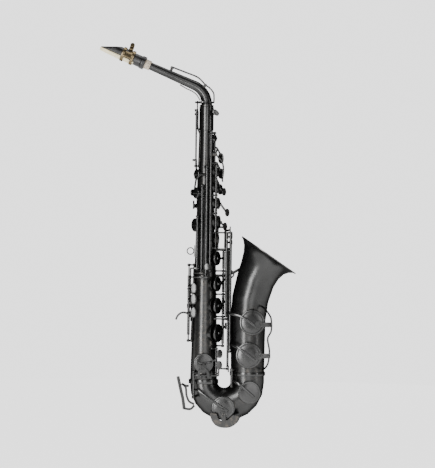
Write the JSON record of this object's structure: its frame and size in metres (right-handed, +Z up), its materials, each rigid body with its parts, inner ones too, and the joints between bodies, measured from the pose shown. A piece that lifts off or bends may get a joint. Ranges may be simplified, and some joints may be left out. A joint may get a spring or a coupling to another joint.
{
  "type": "saxophone",
  "caption": "Alto saxophone in black lacquer: conical body, bow and flared bell, curved neck with mouthpiece and reed, and hinged, sprung keywork with guards.",
  "frame": {"origin": "centre of the neck strap ring behind the body tube", "axes": "+Z up along the body tube, +X from the tube towards the bell, +Y to the player's left, so that -Y faces the side with the side keys and bell key guard"},
  "size_m": [0.3734, 0.1226, 0.7175],
  "materials": {
    "black_lacquer": "satin black lacquer over brass",
    "black_nickel": "semi-gloss black nickel plated keywork",
    "dark_brass": "darkened brass, polished edges",
    "ebonite": "polished black hard rubber",
    "cane": "dry cane with fine lengthwise grain",
    "cork": "matt sheet cork",
    "pad_leather": "matt brown pad leather",
    "felt": "dark felt bumpers",
    "blued_steel": "bright steel screws and needle springs"
  },
  "bodies": {
    "horn": {"body_tube": "black_lacquer", "bow": "black_lacquer", "bell": "black_lacquer", "bow_ring_body": "black_nickel", "bow_ring_bell": "black_nickel", "neck_receiver": "black_nickel", "upper_stack_rib": "black_lacquer", "lower_stack_rib": "black_lacquer", "side_key_rib": "black_lacquer", "lever_rib": "black_lacquer", "palm_rib": "black_lacquer", "octave_rib": "black_lacquer", "table_rib": "black_lacquer", "thumb_rest": "black_lacquer", "bell_key_guard": "black_lacquer", "low_c_guard": "black_lacquer", "low_eb_guard": "black_lacquer", "clothes_guard": "black_lacquer", "bell_brace": "black_lacquer", "strap_ring": "black_nickel", "thumb_hook": "black_nickel"},
    "neck": {"neck_tube": "black_lacquer", "neck_brace": "black_lacquer", "neck_cork": "cork"},
    "neck_octave_key": {"neck_octave_key": "black_nickel"},
    "mouthpiece": {"mouthpiece": "ebonite", "reed": "cane", "ligature": "dark_brass"},
    "ligature_screw": {"ligature_screw": "dark_brass"},
    "neck_screw": {"neck_screw": "black_nickel"},
    "c_key": {"c_key": "black_nickel"},
    "key_b": {"key_b": "black_nickel"},
    "key_a": {"key_a": "black_nickel"},
    "key_g": {"key_g": "black_nickel"},
    "f_sharp_aux": {"f_sharp_aux": "black_nickel"},
    "key_f": {"key_f": "black_nickel"},
    "key_e": {"key_e": "black_nickel"},
    "key_d": {"key_d": "black_nickel"},
    "high_f_sharp": {"high_f_sharp": "black_nickel"},
    "high_e": {"high_e": "black_nickel"},
    "side_c": {"side_c": "black_nickel"},
    "side_bb": {"side_bb": "black_nickel"},
    "high_e_lever": {"high_e_lever": "black_nickel"},
    "side_c_lever": {"side_c_lever": "black_nickel"},
    "side_bb_lever": {"side_bb_lever": "black_nickel"},
    "palm_d": {"palm_d": "black_nickel"},
    "palm_eb": {"palm_eb": "black_nickel"},
    "palm_f": {"palm_f": "black_nickel"},
    "front_f": {"front_f": "black_nickel"},
    "octave_pin_key": {"octave_pin_key": "black_nickel"},
    "octave_thumb_lever": {"octave_thumb_lever": "black_nickel"},
    "g_sharp": {"g_sharp": "black_nickel"},
    "g_sharp_lever": {"g_sharp_lever": "black_nickel"},
    "low_bb": {"low_bb": "black_nickel"},
    "low_b": {"low_b": "black_nickel"},
    "low_c_sharp": {"low_c_sharp": "black_nickel"},
    "c_sharp_lever": {"c_sharp_lever": "black_nickel"},
    "low_eb": {"low_eb": "black_nickel"},
    "low_c": {"low_c": "black_nickel"}
  },
  "joints": [
    {"name": "c_key_hinge", "type": "hinge", "parent": "horn", "child": "c_key", "pos_m": [0.0468, -0.0145, 0.149], "axis": [0, 0, 1], "range_deg": [0, 12], "stiffness_Nm_per_rad": 0.02, "springref_deg": -34.38},
    {"name": "key_b_hinge", "type": "hinge", "parent": "horn", "child": "key_b", "pos_m": [0.0468, -0.0145, 0.119], "axis": [0, 0, 1], "range_deg": [0, 12.5], "stiffness_Nm_per_rad": 0.02, "springref_deg": -34.38},
    {"name": "key_a_hinge", "type": "hinge", "parent": "horn", "child": "key_a", "pos_m": [0.0468, -0.0145, 0.09], "axis": [0, 0, 1], "range_deg": [0, 13], "stiffness_Nm_per_rad": 0.02, "springref_deg": -34.38},
    {"name": "key_g_hinge", "type": "hinge", "parent": "horn", "child": "key_g", "pos_m": [0.0468, -0.0145, 0.055], "axis": [0, 0, 1], "range_deg": [0, 13], "stiffness_Nm_per_rad": 0.02, "springref_deg": -34.38},
    {"name": "f_sharp_aux_hinge", "type": "hinge", "parent": "horn", "child": "f_sharp_aux", "pos_m": [0.0623, 0.007, -0.013], "axis": [0, 0, 1], "range_deg": [-9, 0], "stiffness_Nm_per_rad": 0.02, "springref_deg": 34.38},
    {"name": "key_f_hinge", "type": "hinge", "parent": "horn", "child": "key_f", "pos_m": [0.0623, 0.007, -0.061], "axis": [0, 0, 1], "range_deg": [-9, 0], "stiffness_Nm_per_rad": 0.02, "springref_deg": 34.38},
    {"name": "key_e_hinge", "type": "hinge", "parent": "horn", "child": "key_e", "pos_m": [0.0623, 0.007, -0.102], "axis": [0, 0, 1], "range_deg": [-9, 0], "stiffness_Nm_per_rad": 0.02, "springref_deg": 34.38},
    {"name": "key_d_hinge", "type": "hinge", "parent": "horn", "child": "key_d", "pos_m": [0.0623, 0.007, -0.153], "axis": [0, 0, 1], "range_deg": [-9, 0], "stiffness_Nm_per_rad": 0.02, "springref_deg": 34.38},
    {"name": "low_b_hinge", "type": "hinge", "parent": "horn", "child": "low_b", "pos_m": [0.0753, -0.022, -0.193], "axis": [0, 0, 1], "range_deg": [0, 7.5], "stiffness_Nm_per_rad": 0.03, "springref_deg": -38.22},
    {"name": "low_bb_hinge", "type": "hinge", "parent": "horn", "child": "low_bb", "pos_m": [0.0678, -0.022, -0.132], "axis": [0, 0, 1], "range_deg": [0, 6], "stiffness_Nm_per_rad": 0.03, "springref_deg": -38.22},
    {"name": "low_c_hinge", "type": "hinge", "parent": "horn", "child": "low_c", "pos_m": [0.0088, -0.0285, -0.269], "axis": [0, 0, 1], "range_deg": [0, 5.5], "stiffness_Nm_per_rad": 0.03, "springref_deg": -38.22},
    {"name": "low_eb_hinge", "type": "hinge", "parent": "horn", "child": "low_eb", "pos_m": [0.0505, -0.025, -0.209], "axis": [0, 0, 1], "range_deg": [0, 12], "stiffness_Nm_per_rad": 0.02, "springref_deg": -42.97},
    {"name": "high_f_sharp_hinge", "type": "hinge", "parent": "horn", "child": "high_f_sharp", "pos_m": [0.0366, -0.0275, 0.171], "axis": [0, 0, 1], "range_deg": [-12, 0], "stiffness_Nm_per_rad": 0.02, "springref_deg": 34.38},
    {"name": "palm_d_hinge", "type": "hinge", "parent": "horn", "child": "palm_d", "pos_m": [0.0428, 0.017, 0.147], "axis": [0, 0, 1], "range_deg": [-13, 0], "stiffness_Nm_per_rad": 0.02, "springref_deg": 34.38},
    {"name": "palm_eb_hinge", "type": "hinge", "parent": "horn", "child": "palm_eb", "pos_m": [0.0428, 0.017, 0.179], "axis": [0, 0, 1], "range_deg": [-13, 0], "stiffness_Nm_per_rad": 0.02, "springref_deg": 34.38},
    {"name": "palm_f_hinge", "type": "hinge", "parent": "horn", "child": "palm_f", "pos_m": [0.0428, 0.017, 0.211], "axis": [0, 0, 1], "range_deg": [-13, 0], "stiffness_Nm_per_rad": 0.02, "springref_deg": 34.38},
    {"name": "high_e_lever_hinge", "type": "hinge", "parent": "horn", "child": "high_e_lever", "pos_m": [-0.0022, -0.009, 0.144], "axis": [0, 0, 1], "range_deg": [0, 6], "stiffness_Nm_per_rad": 0.02, "springref_deg": -34.38},
    {"name": "high_e_hinge", "type": "hinge", "parent": "horn", "child": "high_e", "pos_m": [0.0293, -0.0265, 0.144], "axis": [0, 0, 1], "range_deg": [0, 16.9], "stiffness_Nm_per_rad": 0.01, "springref_deg": -34.38},
    {"name": "side_c_lever_hinge", "type": "hinge", "parent": "horn", "child": "side_c_lever", "pos_m": [-0.0022, -0.009, 0.109], "axis": [0, 0, 1], "range_deg": [0, 6], "stiffness_Nm_per_rad": 0.02, "springref_deg": -34.38},
    {"name": "side_c_hinge", "type": "hinge", "parent": "horn", "child": "side_c", "pos_m": [0.0208, -0.025, 0.109], "axis": [0, 0, 1], "range_deg": [0, 16.9], "stiffness_Nm_per_rad": 0.01, "springref_deg": -34.38},
    {"name": "side_bb_lever_hinge", "type": "hinge", "parent": "horn", "child": "side_bb_lever", "pos_m": [-0.0022, -0.009, 0.049], "axis": [0, 0, 1], "range_deg": [0, 6], "stiffness_Nm_per_rad": 0.02, "springref_deg": -34.38},
    {"name": "side_bb_hinge", "type": "hinge", "parent": "horn", "child": "side_bb", "pos_m": [0.0125, -0.0225, 0.049], "axis": [0, 0, 1], "range_deg": [0, 16.9], "stiffness_Nm_per_rad": 0.01, "springref_deg": -34.38},
    {"name": "g_sharp_lever_hinge", "type": "hinge", "parent": "horn", "child": "g_sharp_lever", "pos_m": [0.0653, 0.027, 0.001], "axis": [0, 0, 1], "range_deg": [-11.5, 0], "stiffness_Nm_per_rad": 0.02, "springref_deg": 34.38},
    {"name": "g_sharp_hinge", "type": "hinge", "parent": "horn", "child": "g_sharp", "pos_m": [0.0503, 0.0215, 0.023], "axis": [0, 0, 1], "range_deg": [0, 11.6], "stiffness_Nm_per_rad": 0.01, "springref_deg": -34.38},
    {"name": "c_sharp_lever_hinge", "type": "hinge", "parent": "horn", "child": "c_sharp_lever", "pos_m": [0.0718, -0.0135, -0.079], "axis": [0, 0, 1], "range_deg": [0, 7], "stiffness_Nm_per_rad": 0.02, "springref_deg": -34.38},
    {"name": "low_c_sharp_hinge", "type": "hinge", "parent": "horn", "child": "low_c_sharp", "pos_m": [0.0798, -0.029, -0.262], "axis": [0, 0, 1], "range_deg": [-8.5, 0], "stiffness_Nm_per_rad": 0.015, "springref_deg": 38.22},
    {"name": "octave_thumb_lever_hinge", "type": "hinge", "parent": "horn", "child": "octave_thumb_lever", "pos_m": [0.00976, 0.00894, 0.139], "axis": [0.454, 0.891, 0], "range_deg": [-5.5, 0], "stiffness_Nm_per_rad": 0.02, "springref_deg": 34.38},
    {"name": "octave_pin_key_hinge", "type": "hinge", "parent": "horn", "child": "octave_pin_key", "pos_m": [0.0083, -0.012, 0.211], "axis": [0, 0, 1], "range_deg": [0, 9.1], "stiffness_Nm_per_rad": 0.01, "springref_deg": -28.65},
    {"name": "neck_octave_key_hinge", "type": "hinge", "parent": "neck", "child": "neck_octave_key", "pos_m": [0.02479, 0, 0.31218], "axis": [0, 1, 0], "range_deg": [0, 3.4], "stiffness_Nm_per_rad": 0.02, "springref_deg": -22.92},
    {"name": "front_f_hinge", "type": "hinge", "parent": "horn", "child": "front_f", "pos_m": [0.04584, 0, 0.182], "axis": [0, 1, 0], "range_deg": [0, 4], "stiffness_Nm_per_rad": 0.02, "springref_deg": -28.65},
    {"name": "neck_swivel", "type": "hinge", "parent": "horn", "child": "neck", "pos_m": [0.0273, 0, 0.2764], "axis": [0, 0, 1], "range_deg": [-15, 15]},
    {"name": "neck_screw_turn", "type": "hinge", "parent": "horn", "child": "neck_screw", "pos_m": [0.0429, -0.01, 0.261], "axis": [0, 1, 0], "range_deg": [-180, 180]},
    {"name": "mouthpiece_slide", "type": "slide", "parent": "neck", "child": "mouthpiece", "axis": [-0.9198, 0, 0.3923], "range_m": [0, 0.008]},
    {"name": "ligature_screw_turn", "type": "hinge", "parent": "mouthpiece", "child": "ligature_screw", "pos_m": [-0.11489, 0.00712, 0.38131], "axis": [-0.147, 0.9272, -0.3446], "range_deg": [-180, 180]}
  ],
  "couplings": [
    {"joint": "c_key_hinge", "follows": "key_a_hinge", "ratio": 0.92},
    {"joint": "f_sharp_aux_hinge", "follows": "key_f_hinge", "ratio": 1},
    {"joint": "high_e_hinge", "follows": "high_e_lever_hinge", "ratio": 2.8},
    {"joint": "side_c_hinge", "follows": "side_c_lever_hinge", "ratio": 2.8},
    {"joint": "side_bb_hinge", "follows": "side_bb_lever_hinge", "ratio": 2.8},
    {"joint": "g_sharp_hinge", "follows": "g_sharp_lever_hinge", "ratio": -1},
    {"joint": "low_c_sharp_hinge", "follows": "c_sharp_lever_hinge", "ratio": -1.2},
    {"joint": "octave_pin_key_hinge", "follows": "octave_thumb_lever_hinge", "ratio": -1.65},
    {"joint": "neck_octave_key_hinge", "follows": "octave_thumb_lever_hinge", "ratio": -0.6}
  ]
}
